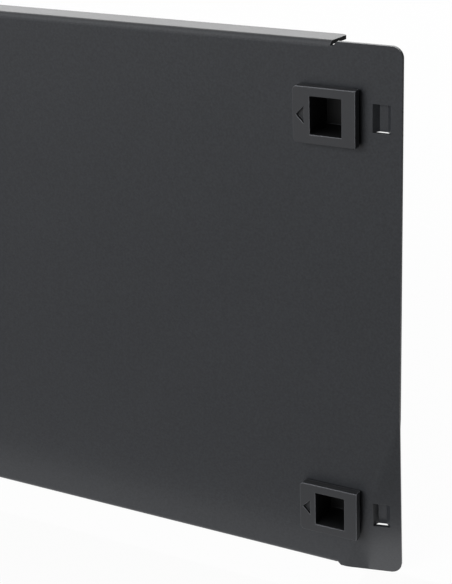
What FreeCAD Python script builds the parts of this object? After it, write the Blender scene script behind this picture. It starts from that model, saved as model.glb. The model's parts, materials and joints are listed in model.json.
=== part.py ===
import FreeCAD, Part
import math
import os

# A 4U blanking panel for a 19 inch rack: one folded steel sheet, with four
# sliding latches that grip the rack's rails without tools.
#
# Frame: +Z is up, +X is to the right seen from the front, and the front faces -Y.
# The origin is the middle of the panel on the plane of the rack's rails, which
# the ears' rear faces lie on, so the sheet is between Y = -sheet and Y = 0.

doc = FreeCAD.newDocument("rack_blanking_panel")
sheet_of_sizes = doc.addObject("Spreadsheet::Sheet", "Sizes")

# Every driving dimension, in millimetres or degrees: its name, value and meaning.
DRIVING = [
    ("units_high", 4, "how many units high the panel is"),
    ("unit_height", 44.45, "height of one unit"),
    ("height_gap", 0.8, "what the panel leaves free between its neighbours"),
    ("sheet", 1.2, "thickness of the steel"),
    ("rail_opening", 450.0, "clear width between the rack's rails"),
    ("ear_overlap", 15.0, "how far each ear lies on its rail"),
    ("rail_grip", 2.4, "from the ears' rear face to the bolts behind the rail"),
    ("flange_depth", 9.3, "from the front face to the flanges' rear edge"),
    ("flange_inset", 5.8, "from the rail's edge inwards to the flanges' rear end"),
    ("flange_slant", 1.75, "how much shorter the flanges are at the fold than at the rear"),
    ("flange_corner", 2.0, "radius of the flanges' rear corners"),
    ("bend_radius", 0.8, "inner radius of the folds"),
    ("relief", 1.4, "height of the notch between a flange and the ear, and its slope's width"),
    ("relief_floor", 0.75, "width of the notch at its bottom"),
    ("ear_corner", 3.5, "radius of the ears' outer corners"),
    ("dent_reach", 18.0, "from the dented corner to the line where its bend starts"),
    ("dent_turn", 18.0, "direction of the dented corner, below the horizontal"),
    ("dent_angle", 12.7, "how far the dented corner is bent back"),
    ("dent_radius", 4.4, "inner radius of that bend"),
    ("lance_offset", 8.65, "from the rail's edge outwards to the lances' middle"),
    ("lance_width", 5.7, "width of a lance where it leaves the sheet"),
    ("lance_crest", 2.6, "width of a lance's flat strip"),
    ("lance_height", 8.6, "height of a lance"),
    ("lance_depth", 1.9, "how far a lance is pushed back"),
    ("lance_slit", 0.06, "width of the cut above and below a lance"),
    ("latch_inset", 7.55, "from the rail's edge inwards to the latches' middle"),
    ("travel", 3.4, "stroke of a latch"),
    ("running_gap", 0.3, "clearance round everything that slides"),
    ("seat_gap", 0.1, "clearance of what is fixed in place"),
    ("button_inner", 10.65, "from the latch's middle to the button's inner end"),
    ("button_outer", 9.5, "from the latch's middle to the button's outer end"),
    ("button_height", 17.35, "height of the button's plate"),
    ("button_plate", 2.8, "thickness of the button's plate"),
    ("button_corner", 1.4, "radius of the plate's inner corners"),
    ("button_edge", 0.12, "rounding of the plate's front edges"),
    ("pad_step", 0.9, "how far the plate overhangs the pad behind it"),
    ("pad_thickness", 0.7, "thickness of that pad"),
    ("pocket_width", 10.2, "width of the finger pocket"),
    ("pocket_height", 11.7, "height of the finger pocket"),
    ("pocket_depth", 12.4, "depth of the finger pocket from the plate's face"),
    ("stem_wall", 1.2, "wall round the finger pocket"),
    ("stem_floor", 0.7, "floor of the finger pocket"),
    ("stem_shoulder", 0.4, "step on the stem that the bolt sits against"),
    ("snap_width", 4.0, "width of the snaps that hold the retainer"),
    ("snap_rise", 0.5, "how far the snaps stand out of the stem"),
    ("snap_length", 1.0, "length of the snaps"),
    ("arrow_gap", 1.95, "from the pocket to the arrow"),
    ("arrow_length", 2.55, "length of the recessed arrow"),
    ("arrow_height", 5.2, "height of the recessed arrow"),
    ("arrow_depth", 0.9, "depth of the recessed arrow"),
    ("bolt_thickness", 1.5, "thickness of the bolt's steel plate"),
    ("bolt_overlap", 3.2, "how far the bolt reaches behind the rail"),
    ("bolt_frame", 2.0, "bars of the bolt above and below the stem"),
    ("bolt_tail", 4.35, "bar of the bolt on the spring's side"),
    ("tongue_height", 10.0, "height of the bolt's tongue"),
    ("tongue_lead", 0.9, "slope on the tongue's rear edge"),
    ("prong_length", 2.5, "length of the prong that holds the spring"),
    ("prong_height", 1.6, "height of the prong that holds the spring"),
    ("retainer_thickness", 1.2, "thickness of the retainer behind the bolt"),
    ("retainer_bar", 1.8, "width of the retainer's bars"),
    ("guide_wall", 1.7, "walls of the guide"),
    ("guide_rise", 3.1, "height of the guide's walls over its floor"),
    ("guide_roof", 1.2, "thickness of the roof over the spring"),
    ("roof_height", 4.8, "height of the roof over the spring"),
    ("roof_length", 7.5, "length of the roof over the spring"),
    ("spring_room", 11.5, "length of the spring as fitted"),
    ("spring_diameter", 3.4, "outer diameter of the spring"),
    ("spring_wire", 0.45, "diameter of the spring's wire"),
    ("spring_turns", 6.5, "turns of the spring"),
    ("spring_facets", 10, "straight lengths in a turn of the spring"),
    ("wire_facets", 6, "flats round the spring's wire"),
    ("peg_diameter", 1.8, "peg of the guide that holds the spring"),
    ("peg_length", 2.5, "peg of the guide that holds the spring"),
    ("stud_diameter", 2.5, "threads of the studs that hold the guide"),
    ("stud_length", 5.0, "length of the studs that hold the guide"),
    ("weld_diameter", 4.0, "foot of a stud, welded to the sheet"),
    ("weld_thickness", 0.7, "foot of a stud, welded to the sheet"),
    ("stud_spacing", 11.6, "between the two studs of a guide"),
    ("stud_inset", 4.5, "from the guide's end wall to its studs"),
    ("nut_flats", 5.0, "width of the nuts over their flats"),
    ("nut_thickness", 1.6, "thickness of the nuts"),
]

for row, (alias, value, meaning) in enumerate(DRIVING, start=1):
    sheet_of_sizes.set(f"A{row}", alias)
    sheet_of_sizes.set(f"B{row}", str(value))
    sheet_of_sizes.set(f"C{row}", meaning)
    sheet_of_sizes.setAlias(f"B{row}", alias)
doc.recompute()


def size(alias):
    """The number that the sheet holds for a driving dimension."""
    return float(sheet_of_sizes.get(alias))


def half_width():
    """From the panel's middle to its side edges."""
    return size("rail_opening") / 2 + size("ear_overlap")


def half_height():
    """From the panel's middle to its top and bottom edges."""
    return (size("units_high") * size("unit_height") - size("height_gap")) / 2


class Lengths:
    """Expressions for places that several sub-parts share."""

    rail = "(Sizes.rail_opening / 2)"
    half_width = f"({rail} + Sizes.ear_overlap)"
    half_height = "((Sizes.units_high * Sizes.unit_height - Sizes.height_gap) / 2)"
    row = "((Sizes.units_high - 1) * Sizes.unit_height / 2)"
    flange = f"({rail} - Sizes.flange_inset)"
    fold = f"({flange} - Sizes.flange_slant)"
    ear = f"({fold} + Sizes.relief_floor)"
    lance = f"({rail} + Sizes.lance_offset)"
    latch = f"({rail} - Sizes.latch_inset)"

    # Half sizes of the stem in front of its shoulder.
    stem_x = "(Sizes.pocket_width / 2 + Sizes.stem_wall)"
    stem_z = "(Sizes.pocket_height / 2 + Sizes.stem_wall)"
    # Half sizes of the stem behind its shoulder.
    neck_x = "(Sizes.pocket_width / 2 + Sizes.stem_wall - Sizes.stem_shoulder)"
    neck_z = "(Sizes.pocket_height / 2 + Sizes.stem_wall - Sizes.stem_shoulder)"

    # The slot in the sheet and in the guide's floor, from the latch's middle.
    slot_in = f"(-{stem_x} - Sizes.travel - Sizes.running_gap)"
    slot_out = f"({stem_x} + Sizes.running_gap)"
    slot_z = f"({stem_z} + Sizes.running_gap)"

    # The stack of a latch along Y.
    pad_back = "(-Sizes.sheet - Sizes.running_gap)"
    plate_back = "(-Sizes.sheet - Sizes.running_gap - Sizes.pad_thickness)"
    plate_front = f"({plate_back} - Sizes.button_plate)"
    stem_end = f"({plate_front} + Sizes.pocket_depth + Sizes.stem_floor)"
    guide_floor = "(Sizes.rail_grip - Sizes.running_gap)"
    bolt_back = "(Sizes.rail_grip + Sizes.bolt_thickness)"
    retainer_back = f"({bolt_back} + Sizes.retainer_thickness)"

    # The bolt along X and Z, from the latch's middle.
    bolt_z = f"({neck_z} + Sizes.bolt_frame)"
    bolt_in = f"(-{neck_x} - Sizes.bolt_tail)"
    bolt_tip = f"({rail} + Sizes.bolt_overlap - {latch})"

    # The guide along X and Z, from the latch's middle.
    guide_z = f"({bolt_z} + Sizes.running_gap)"
    spring_end = f"({bolt_in} - Sizes.spring_room)"
    guide_in = f"({spring_end} - Sizes.guide_wall)"
    guide_out = f"({rail} - Sizes.running_gap - {latch})"
    spring_y = "(Sizes.rail_grip + Sizes.bolt_thickness / 2)"
    stud_x = f"({spring_end} + Sizes.stud_inset)"


def box(name, x, y, z):
    """A box between a low and a high expression along each axis."""
    made = doc.addObject("Part::Box", name)
    for axis, edge, (low, high) in zip("xyz", ("Length", "Width", "Height"), (x, y, z)):
        made.setExpression(edge, f"({high}) - ({low})")
        made.setExpression(f"Placement.Base.{axis}", low)
    return made


def both(half):
    """The low and high expression of something as far each side of zero."""
    return (f"-({half})", half)


def about(middle, half):
    """The low and high expression of something as far each side of middle."""
    return (f"({middle}) - ({half})", f"({middle}) + ({half})")


BACKWARDS = FreeCAD.Rotation(FreeCAD.Vector(1, 0, 0), -90)


def place(made, at, rotation=None):
    """Bind a piece's position to expressions, and turn it if asked."""
    if rotation is not None:
        made.Placement = FreeCAD.Placement(FreeCAD.Vector(), rotation)
    for axis, expression in zip("xyz", at):
        made.setExpression(f"Placement.Base.{axis}", expression)
    return made


def tapered(name, x, y, z, far_x=None, far_z=None):
    """A block whose far end along its own Y has other limits in X or Z."""
    made = doc.addObject("Part::Wedge", name)
    limits = {"X": x, "Y": y, "Z": z, "X2": far_x or x, "Z2": far_z or z}
    for letters, (low, high) in limits.items():
        made.setExpression(f"{letters}min", low)
        made.setExpression(f"{letters}max", high)
    return made


def fuse(name, *shapes, refine=True):
    made = doc.addObject("Part::MultiFuse", name)
    made.Shapes = list(shapes)
    made.Refine = refine
    return made


def cut(name, base, *tools, refine=True):
    for number, tool in enumerate(tools):
        made = doc.addObject("Part::Cut", f"{name}_{number}")
        made.Base = base
        made.Tool = tool
        made.Refine = refine
        base = made
    return base


def round_off(name, base, alias, chosen, kind="Part::Fillet"):
    """Round (or chamfer) the edges of base that chosen accepts, by the size alias."""
    doc.recompute()
    radius = size(alias)
    numbers = [n for n, edge in enumerate(base.Shape.Edges, start=1) if chosen(edge)]
    made = doc.addObject(kind, name)
    made.Base = base
    made.Edges = [(n, radius, radius) for n in numbers]
    return made


def runs_along(edge, axis):
    """Whether a straight edge lies along an axis, given as 0, 1 or 2."""
    lengths = (edge.BoundBox.XLength, edge.BoundBox.YLength, edge.BoundBox.ZLength)
    return all(lengths[i] < 1e-6 for i in range(3) if i != axis)


# ---------------------------------------------------------------- the sheet


def channel():
    """The wide middle of the sheet with its top and bottom flanges folded back."""
    L = Lengths
    reach = "Sizes.flange_depth - Sizes.sheet"
    outer = box("channel_outer", both(L.flange), ("-Sizes.sheet", reach), both(L.half_height))
    front = -size("sheet")
    outer = round_off(
        "channel_rear_corners",
        outer,
        "flange_corner",
        lambda e: runs_along(e, 2) and e.CenterOfMass.y > front + 1,
    )
    doc.recompute()
    outside = size("bend_radius") + size("sheet")
    folds = doc.addObject("Part::Fillet", "channel_folds")
    folds.Base = outer
    folds.Edges = [
        (n, outside, outside)
        for n, e in enumerate(outer.Shape.Edges, start=1)
        if runs_along(e, 0) and e.CenterOfMass.y < front + 1e-6
    ]
    inner = box(
        "channel_inner",
        both(f"{L.flange} + 1"),
        ("0", f"{reach} + 1"),
        both(f"{L.half_height} - Sizes.sheet"),
    )
    inner = round_off(
        "channel_inner_folds",
        inner,
        "bend_radius",
        lambda e: runs_along(e, 0) and e.CenterOfMass.y < 1e-6,
    )
    slants = [
        tapered(
            f"flange_slant_{number}",
            mirrored(side, L.fold, f"{L.flange} + 1"),
            ("-Sizes.sheet", reach),
            (f"{L.half_height} - Sizes.relief", f"{L.half_height} + 1")
            if level > 0
            else (f"-{L.half_height} - 1", f"-{L.half_height} + Sizes.relief"),
            far_x=mirrored(side, L.flange, f"{L.flange} + 1"),
        )
        for number, (side, level) in enumerate(((1, 1), (1, -1), (-1, 1), (-1, -1)))
    ]
    return cut("channel", folds, inner, *slants)


def mirrored(side, low, high):
    """An X interval on the right, or its mirror image on the left."""
    return (low, high) if side > 0 else (f"-({high})", f"-({low})")


def ear(side, name):
    """A flat ear, from the flanges' end to the side edge, sloped beside its relief notches.

    Its strip on the rail stays a face of its own, which is what lies on the rail.
    """
    L = Lengths
    sheet_y = ("-Sizes.sheet", "0")
    inner = box(f"{name}_inner", mirrored(side, L.ear, L.rail), sheet_y, both(L.half_height))
    inner_x = size("rail_opening") / 2 - size("flange_inset") - size("flange_slant")
    inner_x = side * (inner_x + size("relief_floor"))
    inner = round_off(
        f"{name}_reliefs",
        inner,
        "relief",
        lambda e: runs_along(e, 1) and abs(e.CenterOfMass.x - inner_x) < 1e-6,
        kind="Part::Chamfer",
    )
    strip = box(f"{name}_strip", mirrored(side, L.rail, L.half_width), sheet_y, both(L.half_height))
    edge_x = side * half_width()
    strip = round_off(
        f"{name}_corners",
        strip,
        "ear_corner",
        lambda e: runs_along(e, 1) and abs(e.CenterOfMass.x - edge_x) < 1e-6,
    )
    return fuse(name, inner, strip, refine=False)


def dent_frame():
    """Placement on the line where the dented corner's bend starts.

    Its +X points at the corner, its +Y points back and its +Z runs along the line.
    """
    turn = size("dent_turn")
    away = math.radians(turn)
    reach = size("dent_reach")
    on_line = FreeCAD.Vector(
        half_width() - reach * math.cos(away),
        0,
        -half_height() + reach * math.sin(away),
    )
    return FreeCAD.Placement(on_line, FreeCAD.Rotation(FreeCAD.Vector(0, 1, 0), turn))


def beyond(distance, name):
    """Everything further than a distance past the line where the dent's bend starts."""
    span = half_height()
    made = doc.addObject("Part::Feature", name)
    low = FreeCAD.Vector(distance, -span, -span)
    made.Shape = Part.makeBox(span, 2 * span, 2 * span, low)
    made.Placement = dent_frame()
    return made


def dent_arc():
    """Length of sheet that the dent's bend takes up."""
    return (size("dent_radius") + size("sheet") / 2) * math.radians(size("dent_angle"))


def dent_bend():
    """The bent strip of the sheet between the flat ear and its dented corner."""
    inside = size("dent_radius")
    radii = (inside, inside + size("sheet"))
    line = dent_frame().Base
    away = math.radians(size("dent_turn"))

    def section(share):
        """The sheet's cross-section, between its bottom and side edges, part way round."""
        along = dent_arc() * share
        bottom = (-half_height() - line.z + along * math.sin(away)) / math.cos(away)
        side = (half_width() - line.x - along * math.cos(away)) / math.sin(away)
        angle = math.radians(size("dent_angle")) * share
        rear, front = [(r * math.sin(angle), inside - r * math.cos(angle)) for r in radii]
        corners = [(*rear, bottom), (*front, bottom), (*front, side), (*rear, side)]
        return Part.makePolygon([FreeCAD.Vector(*c) for c in (*corners, corners[0])])

    made = doc.addObject("Part::Feature", "dent_bend")
    made.Shape = Part.makeLoft([section(step / 4) for step in range(5)], True)
    made.Placement = dent_frame()
    return made


def dented_corner(whole_ear):
    """The part of an ear past the dent's bend, turned back about the bend's middle."""
    flat = doc.addObject("Part::Common", "dented_corner_flat")
    flat.Base = whole_ear
    flat.Tool = beyond(dent_arc(), "past_dent_bend")
    doc.recompute()
    middle = FreeCAD.Vector(0, size("dent_radius"), 0)
    turned = FreeCAD.Rotation(FreeCAD.Vector(0, 0, 1), size("dent_angle"))
    taken_up = FreeCAD.Placement(FreeCAD.Vector(-dent_arc(), 0, 0), FreeCAD.Rotation())
    about_middle = FreeCAD.Placement(FreeCAD.Vector(), turned, middle)
    made = doc.addObject("Part::Feature", "dented_corner")
    made.Shape = flat.Shape
    made.Placement = dent_frame() * about_middle * taken_up * dent_frame().inverse()
    return made


def lance_bridge(side, level, name):
    """A strip cut free above and below and pushed back, which sits in a square hole of the rail."""
    L = Lengths
    middle = f"{side} * {L.lance}"
    half = "Sizes.lance_width / 2"
    crest = "Sizes.lance_crest / 2"
    up = f"{level} * {L.row}"

    def trapezium(part, front):
        made = tapered(
            f"{name}_{part}",
            both(half),
            ("0", "Sizes.lance_depth"),
            both("Sizes.lance_height / 2"),
            far_x=both(crest),
        )
        return place(made, (middle, front, up))

    span = about(up, "Sizes.lance_height / 2")
    root = box(f"{name}_root", about(middle, half), ("-Sizes.sheet", "0"), span)
    back = fuse(f"{name}_back", root, trapezium("rear", "0"))
    return cut(f"{name}_bridge", back, trapezium("front", "-Sizes.sheet"))


def lance_hole(side, level, name):
    L = Lengths
    return box(
        f"{name}_hole",
        about(f"{side} * {L.lance}", "Sizes.lance_width / 2"),
        ("-Sizes.sheet - 1", "1"),
        about(f"{level} * {L.row}", "Sizes.lance_height / 2 + Sizes.lance_slit"),
    )


def latch_slot(side, level, name):
    L = Lengths
    return box(
        f"{name}_slot",
        latch_x(side, L.slot_in, L.slot_out),
        ("-Sizes.sheet - 1", "1"),
        about(f"{level} * {L.row}", L.slot_z),
    )


def latch_x(side, low, high):
    """An X interval measured outwards from a latch's middle."""
    return mirrored(side, f"{Lengths.latch} + ({low})", f"{Lengths.latch} + ({high})")


def lanced(base, places, name):
    """A flat piece of the sheet with the lances of some places."""
    holes = [lance_hole(*place_of_lance) for place_of_lance in places]
    bridges = [lance_bridge(*place_of_lance) for place_of_lance in places]
    pierced = cut(f"{name}_pierced", base, *holes, refine=False)
    return fuse(name, pierced, *bridges, refine=False)


def panel(places):
    """The folded sheet with its ears, latch slots and lances, as one solid."""
    right = ear(1, "right_ear")
    dented = [(side, level, name) for side, level, name in places if side > 0 > level]
    straight = [place_of_lance for place_of_lance in places if place_of_lance not in dented]
    corner = dented_corner(lanced(right, dented, "dented_ear"))
    kept = cut("right_ear_kept", right, beyond(0, "past_dent_line"), refine=False)
    left = ear(-1, "left_ear")
    blank = fuse("sheet_blank", channel(), kept, left, dent_bend(), corner, refine=False)
    slots = fuse("latch_slots", *[latch_slot(*place_of_latch) for place_of_latch in places])
    made = lanced(cut("sheet_slotted", blank, slots, refine=False), straight, "panel")
    made.Label = "panel"
    return made


# ---------------------------------------------------------------- a latch


def button(side, level, name):
    """Front plate with a finger pocket and an arrow, and the hollow stem behind it."""
    L = Lengths
    up = f"{level} * {L.row}"
    plate = box(
        f"{name}_plate",
        latch_x(side, "-Sizes.button_inner", "Sizes.button_outer"),
        (L.plate_front, L.plate_back),
        about(up, "Sizes.button_height / 2"),
    )
    inner_end = side * (size("rail_opening") / 2 - size("latch_inset") - size("button_inner"))
    plate = round_off(
        f"{name}_plate_corners",
        plate,
        "button_corner",
        lambda e: runs_along(e, 1) and abs(e.CenterOfMass.x - inner_end) < 1e-6,
    )
    pad = box(
        f"{name}_pad",
        latch_x(
            side,
            "-Sizes.button_inner + Sizes.pad_step",
            "Sizes.button_outer - Sizes.pad_step",
        ),
        (L.plate_back, L.pad_back),
        about(up, "Sizes.button_height / 2 - Sizes.pad_step"),
    )
    stem = box(
        f"{name}_stem",
        latch_x(side, f"-{L.stem_x}", L.stem_x),
        (L.pad_back, "Sizes.rail_grip"),
        about(up, L.stem_z),
    )
    neck = box(
        f"{name}_neck",
        latch_x(side, f"-{L.neck_x}", L.neck_x),
        ("Sizes.rail_grip", L.stem_end),
        about(up, L.neck_z),
    )
    snaps = tapered(
        f"{name}_snaps",
        both("Sizes.snap_width / 2"),
        ("0", "Sizes.snap_length"),
        both(f"{L.neck_z} + Sizes.snap_rise"),
        far_z=both(L.neck_z),
    )
    place(snaps, (f"{side} * {L.latch}", f"{L.retainer_back} + Sizes.seat_gap", up))
    pocket = box(
        f"{name}_pocket",
        latch_x(side, "-Sizes.pocket_width / 2", "Sizes.pocket_width / 2"),
        (f"{L.plate_front} - 1", f"{L.plate_front} + Sizes.pocket_depth"),
        about(up, "Sizes.pocket_height / 2"),
    )
    whole = cut(f"{name}_moulding", fuse(f"{name}_body", plate, pad, stem, neck, snaps), pocket)
    front = -sum(size(a) for a in ("sheet", "running_gap", "pad_thickness", "button_plate"))
    eased = round_off(
        f"{name}_eased",
        whole,
        "button_edge",
        lambda e: e.BoundBox.YMax < front + 0.01,
    )
    return cut(f"{name}_button", eased, arrow(side, up, name))


def arrow(side, up, name):
    """Recess of the arrow, which points towards the panel's middle."""
    L = Lengths
    # The wedge tapers along its own Y, which is turned towards the panel's middle.
    into = ("-1", "Sizes.arrow_depth")
    made = tapered(
        f"{name}_arrow",
        into if side > 0 else (f"-{into[1]}", "1"),
        ("0", "Sizes.arrow_length"),
        both("Sizes.arrow_height / 2"),
        far_z=("0", "0"),
    )
    base = f"{L.latch} - Sizes.pocket_width / 2 - Sizes.arrow_gap"
    turned = FreeCAD.Rotation(FreeCAD.Vector(0, 0, 1), 90 * side)
    return place(made, (f"{side} * ({base})", L.plate_front, up), turned)


def bolt(side, level, name):
    """Steel plate on the stem, whose tongue grips behind the rail."""
    L = Lengths
    up = f"{level} * {L.row}"
    plane = ("Sizes.rail_grip", L.bolt_back)
    tongue = box(
        f"{name}_tongue",
        latch_x(side, L.neck_x, L.bolt_tip),
        plane,
        about(up, "Sizes.tongue_height / 2"),
    )
    tip = side * (size("rail_opening") / 2 + size("bolt_overlap"))
    back = size("rail_grip") + size("bolt_thickness")
    tongue = round_off(
        f"{name}_tongue_lead",
        tongue,
        "tongue_lead",
        lambda e: runs_along(e, 2)
        and abs(e.CenterOfMass.x - tip) < 1e-6
        and abs(e.CenterOfMass.y - back) < 1e-6,
        kind="Part::Chamfer",
    )
    frame = box(
        f"{name}_frame",
        latch_x(side, L.bolt_in, f"{L.neck_x} + Sizes.bolt_frame"),
        plane,
        about(up, L.bolt_z),
    )
    prong = box(
        f"{name}_prong",
        latch_x(side, f"{L.bolt_in} - Sizes.prong_length", L.bolt_in),
        plane,
        about(up, "Sizes.prong_height / 2"),
    )
    whole = fuse(f"{name}_bolt_blank", frame, tongue, prong)
    return cut(f"{name}_bolt", whole, neck_window(side, up, name, "bolt"))


def neck_window(side, up, name, part):
    """The opening that lets the stem's neck through."""
    L = Lengths
    half_x = f"{L.neck_x} + Sizes.seat_gap"
    return box(
        f"{name}_{part}_window",
        latch_x(side, f"-({half_x})", half_x),
        ("Sizes.rail_grip - 1", f"{L.retainer_back} + 1"),
        about(up, f"{L.neck_z} + Sizes.seat_gap"),
    )


def retainer(side, level, name):
    """Frame snapped on the stem behind the bolt."""
    L = Lengths
    up = f"{level} * {L.row}"
    half_x = f"{L.neck_x} + Sizes.retainer_bar"
    whole = box(
        f"{name}_ring",
        latch_x(side, f"-({half_x})", half_x),
        (L.bolt_back, L.retainer_back),
        about(up, f"{L.neck_z} + Sizes.retainer_bar"),
    )
    return cut(f"{name}_retainer", whole, neck_window(side, up, name, "retainer"))


def guide(side, level, name):
    """Moulding behind the sheet that the bolt runs in and the spring pushes against."""
    L = Lengths
    up = f"{level} * {L.row}"
    top = f"{L.guide_floor} + Sizes.guide_rise"
    block = box(
        f"{name}_block",
        latch_x(side, L.guide_in, L.guide_out),
        ("0", top),
        about(up, f"{L.guide_z} + Sizes.guide_wall"),
    )
    channel_cut = box(
        f"{name}_run",
        latch_x(side, L.spring_end, f"{L.guide_out} + 1"),
        (L.guide_floor, f"{top} + 1"),
        about(up, L.guide_z),
    )
    window = box(
        f"{name}_window",
        latch_x(side, L.slot_in, f"{L.guide_out} + 1"),
        ("-1", f"{L.guide_floor} + 1"),
        about(up, L.slot_z),
    )
    trough = box(
        f"{name}_trough",
        latch_x(side, L.spring_end, f"{L.slot_in} + 1"),
        (f"{L.spring_y} - Sizes.spring_diameter / 2 - Sizes.running_gap", f"{L.guide_floor} + 1"),
        about(up, "Sizes.spring_diameter / 2 + Sizes.running_gap"),
    )
    seats = []
    for number, stud_side in enumerate((1, -1)):
        at = stud_place(side, level, stud_side)
        for part, diameter, depth in (
            ("bore", "Sizes.stud_diameter", f"{L.guide_floor} + 1"),
            ("seat", "Sizes.weld_diameter", "Sizes.weld_thickness + Sizes.seat_gap"),
        ):
            wide = f"{diameter} / 2 + Sizes.seat_gap"
            seats.append(rod(f"{name}_{part}_{number}", wide, f"{depth} + 1", at, start="-1"))
    hollow = cut(f"{name}_shell", block, fuse(f"{name}_hollows", channel_cut, window, trough, *seats))
    roof = box(
        f"{name}_roof",
        latch_x(side, L.guide_in, f"{L.spring_end} + Sizes.roof_length"),
        (top, f"{top} + Sizes.guide_roof"),
        about(up, "Sizes.roof_height / 2"),
    )
    peg = doc.addObject("Part::Cylinder", f"{name}_peg")
    peg.setExpression("Radius", "Sizes.peg_diameter / 2")
    peg.setExpression("Height", "Sizes.peg_length + Sizes.guide_wall / 2")
    outwards = FreeCAD.Rotation(FreeCAD.Vector(0, 1, 0), 90 * side)
    foot = f"{side} * ({L.latch} + {L.spring_end} - Sizes.guide_wall / 2)"
    place(peg, (foot, L.spring_y, up), outwards)
    return fuse(f"{name}_guide", hollow, roof, peg)


def coil():
    """The spring's wire along +Z from the origin, as straight lengths between facets."""
    facets = int(size("spring_facets"))
    steps = round(facets * size("spring_turns"))
    wire = size("spring_wire") / 2
    mean = size("spring_diameter") / 2 - wire
    length = size("spring_room") - 2 * (wire + size("seat_gap"))

    def on_helix(step):
        angle = 2 * math.pi * step / facets
        height = wire + size("seat_gap") + length * step / steps
        return FreeCAD.Vector(mean * math.cos(angle), mean * math.sin(angle), height)

    path = Part.makePolygon([on_helix(step) for step in range(steps + 1)])
    along = (on_helix(1) - on_helix(0)).normalize()
    up = FreeCAD.Vector(0, 0, 1)
    up = (up - along * up.dot(along)).normalize()
    across = along.cross(up)
    ring = [2 * math.pi * n / size("wire_facets") for n in range(int(size("wire_facets")) + 1)]
    section = [on_helix(0) + (up * math.cos(a) + across * math.sin(a)) * wire for a in ring]
    mitred = 1
    return path.makePipeShell([Part.makePolygon(section)], True, False, mitred)


def spring(side, level, name):
    """Compression spring along X, between the guide's end wall and the bolt."""
    L = Lengths
    made = doc.addObject("Part::Feature", f"{name}_spring")
    made.Shape = coil()
    outwards = FreeCAD.Rotation(FreeCAD.Vector(0, 1, 0), 90 * side)
    first = f"{side} * ({L.latch} + {L.spring_end})"
    return place(made, (first, L.spring_y, f"{level} * {L.row}"), outwards)


# ---------------------------------------------------------------- fasteners


def stud_place(side, level, stud_side):
    """Where a stud of a guide stands on the sheet's rear face."""
    L = Lengths
    return (
        f"{side} * ({L.latch} + {L.stud_x})",
        f"{level} * {L.row} + ({stud_side}) * Sizes.stud_spacing / 2",
    )


def rod(name, radius, length, at, start="0"):
    """A cylinder that points backwards from the plane Y = start."""
    made = doc.addObject("Part::Cylinder", name)
    made.setExpression("Radius", radius)
    made.setExpression("Height", length)
    return place(made, (at[0], start, at[1]), BACKWARDS)


def studs(places):
    """The threaded studs, welded to the sheet's rear face."""
    made = []
    for side, level, name in places:
        for number, stud_side in enumerate((1, -1)):
            at = stud_place(side, level, stud_side)
            foot = rod(f"{name}_foot_{number}", "Sizes.weld_diameter / 2", "Sizes.weld_thickness", at)
            thread = rod(f"{name}_thread_{number}", "Sizes.stud_diameter / 2", "Sizes.stud_length", at)
            made.append(fuse(f"{name}_stud_{number}", foot, thread))
    return together("weld_studs", made)


def nuts(places):
    """The nuts that hold the guides on the studs."""
    L = Lengths
    made = []
    for side, level, name in places:
        for number, stud_side in enumerate((1, -1)):
            at = stud_place(side, level, stud_side)
            blank = doc.addObject("Part::Prism", f"{name}_hexagon_{number}")
            blank.Polygon = 6
            blank.setExpression("Circumradius", "Sizes.nut_flats / sqrt(3)")
            blank.setExpression("Height", "Sizes.nut_thickness")
            place(blank, (at[0], L.guide_floor, at[1]), BACKWARDS)
            wide = "Sizes.stud_diameter / 2 + Sizes.seat_gap"
            bore = rod(f"{name}_thread_bore_{number}", wide, "Sizes.stud_length + 1", at)
            made.append(cut(f"{name}_nut_{number}", blank, bore))
    return together("stud_nuts", made)


def together(name, pieces):
    """Identical fasteners as one sub-part."""
    made = doc.addObject("Part::Compound", name)
    made.Links = pieces
    made.Label = name
    return made


# ---------------------------------------------------------------- the whole object

PLACES = [
    (side, level, f"{row}_{end}")
    for level, row in ((1, "upper"), (-1, "lower"))
    for side, end in ((1, "right"), (-1, "left"))
]
LATCH_PARTS = {"button": button, "bolt": bolt, "retainer": retainer, "guide": guide, "spring": spring}

sub_parts = [panel(PLACES), studs(PLACES), nuts(PLACES)]
for place_of_latch in PLACES:
    for part, make in LATCH_PARTS.items():
        made = make(*place_of_latch)
        made.Label = f"{place_of_latch[2]}_{part}"
        sub_parts.append(made)

doc.recompute()
for thing in doc.Objects:
    if {"Invalid", "Error"} & set(thing.State):
        raise ValueError(f"{thing.Label} failed to recompute: {thing.State}")

os.makedirs("parts", exist_ok=True)
for part in sub_parts:
    if part.Shape.isNull() or not part.Shape.isValid():
        raise ValueError(f"{part.Label} has no valid shape")
    part.Shape.exportStep(f"parts/{part.Label}.step")
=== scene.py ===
import json
import math

import bmesh
import bpy
from bpy.props import FloatProperty, FloatVectorProperty, PointerProperty
from mathutils import Matrix, Vector

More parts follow.
